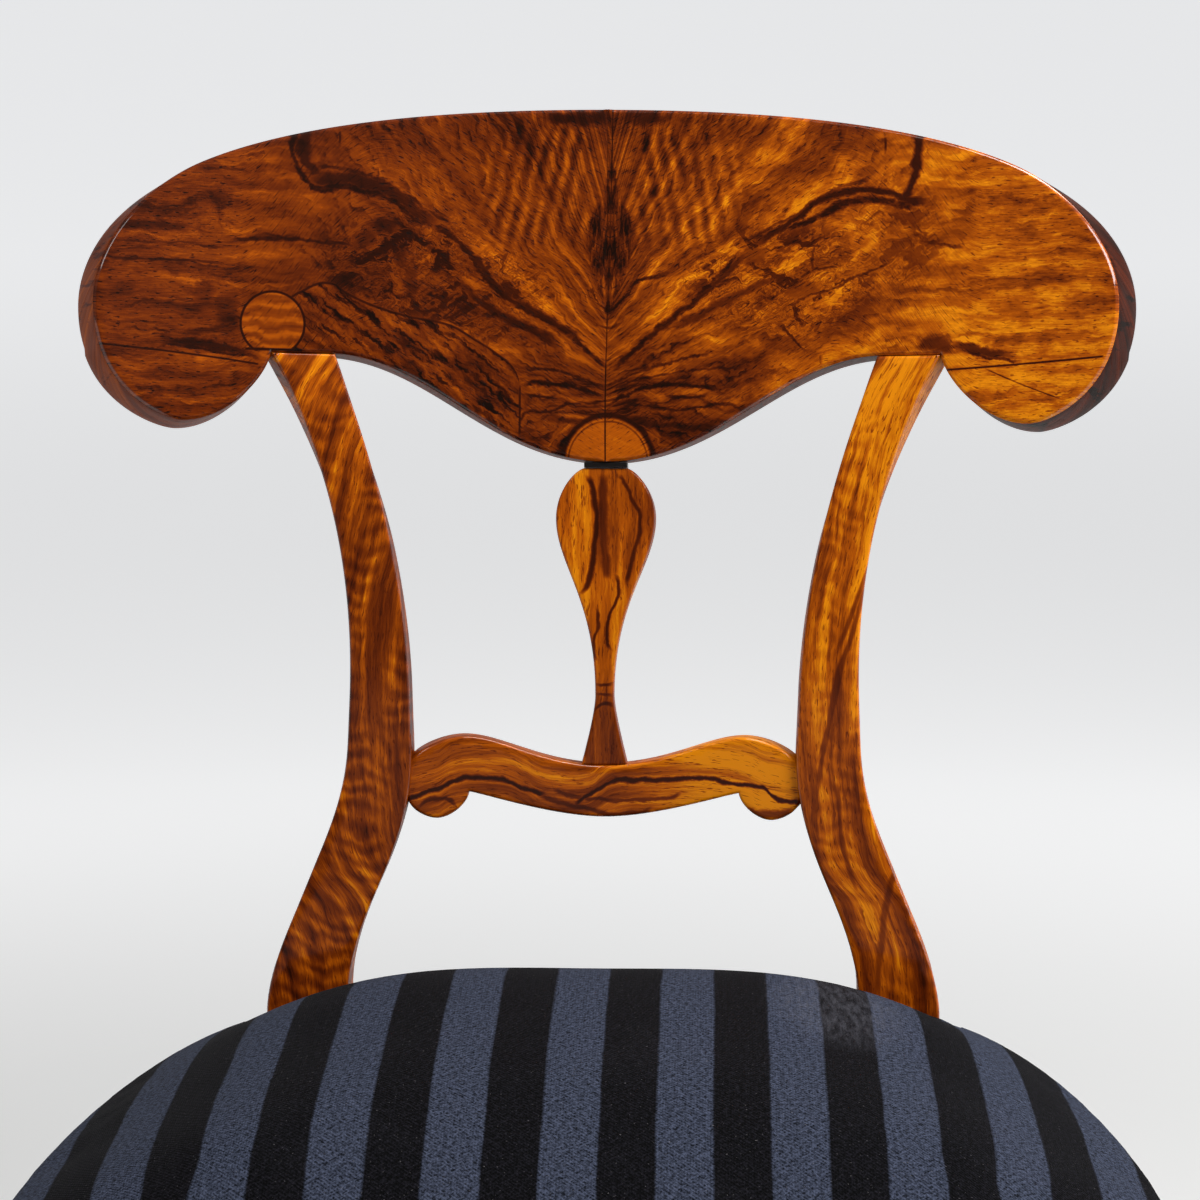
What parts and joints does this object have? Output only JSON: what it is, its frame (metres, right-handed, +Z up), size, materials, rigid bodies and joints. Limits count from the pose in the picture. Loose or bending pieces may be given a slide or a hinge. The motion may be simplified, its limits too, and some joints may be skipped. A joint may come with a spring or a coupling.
{
  "type": "dining chair",
  "caption": "Armless wooden side chair with a shovel-shaped veneered crest, lyre-curved stiles, a small vase splat and a domed striped seat.",
  "frame": {"origin": "on the floor, under the middle of the chair's bounding box", "axes": "+Z up, +Y towards the chair's back, the sitter faces -Y, +X to the viewer's right when the chair is seen from its front"},
  "size_m": [0.4878, 0.4944, 0.8638],
  "materials": {
    "walnut": "french-polished walnut",
    "walnut_burl": "french-polished bookmatched walnut veneer",
    "core_wood": "plain softwood",
    "ebonised_wood": "black stained and polished",
    "striped_cloth": "wool cloth with black and blue-grey stripes",
    "hair": "loose hair stuffing",
    "jute": "woven webbing",
    "hessian": "coarse plain weave",
    "black_cloth": "thin plain weave",
    "steel": "plain screws"
  },
  "bodies": {
    "root": {"crest_core": "core_wood", "crest_face_veneer_left": "walnut_burl", "crest_face_veneer_right": "walnut_burl", "crest_rear_veneer": "walnut", "lower_back_rail": "walnut", "vase_splat": "walnut", "splat_fillet": "ebonised_wood", "rear_leg_left": "walnut", "front_leg_left": "walnut", "side_rail_left": "walnut", "rear_leg_right": "walnut", "front_leg_right": "walnut", "side_rail_right": "walnut", "front_rail": "walnut", "back_rail": "walnut", "corner_block_front_left": "core_wood", "block_screw_front_left_1": "steel", "block_screw_front_left_2": "steel", "corner_block_back_left": "core_wood", "block_screw_back_left_1": "steel", "block_screw_back_left_2": "steel", "corner_block_front_right": "core_wood", "block_screw_front_right_1": "steel", "block_screw_front_right_2": "steel", "corner_block_back_right": "core_wood", "block_screw_back_right_1": "steel", "block_screw_back_right_2": "steel", "webbing_lengthwise_1": "jute", "webbing_lengthwise_2": "jute", "webbing_lengthwise_3": "jute", "webbing_lengthwise_4": "jute", "webbing_crosswise_1": "jute", "webbing_crosswise_2": "jute", "webbing_crosswise_3": "jute", "webbing_crosswise_4": "jute", "base_cloth": "hessian", "stuffing_pad": "hair", "seat_cover": "striped_cloth", "bottom_cloth": "black_cloth"}
  },
  "joints": []
}
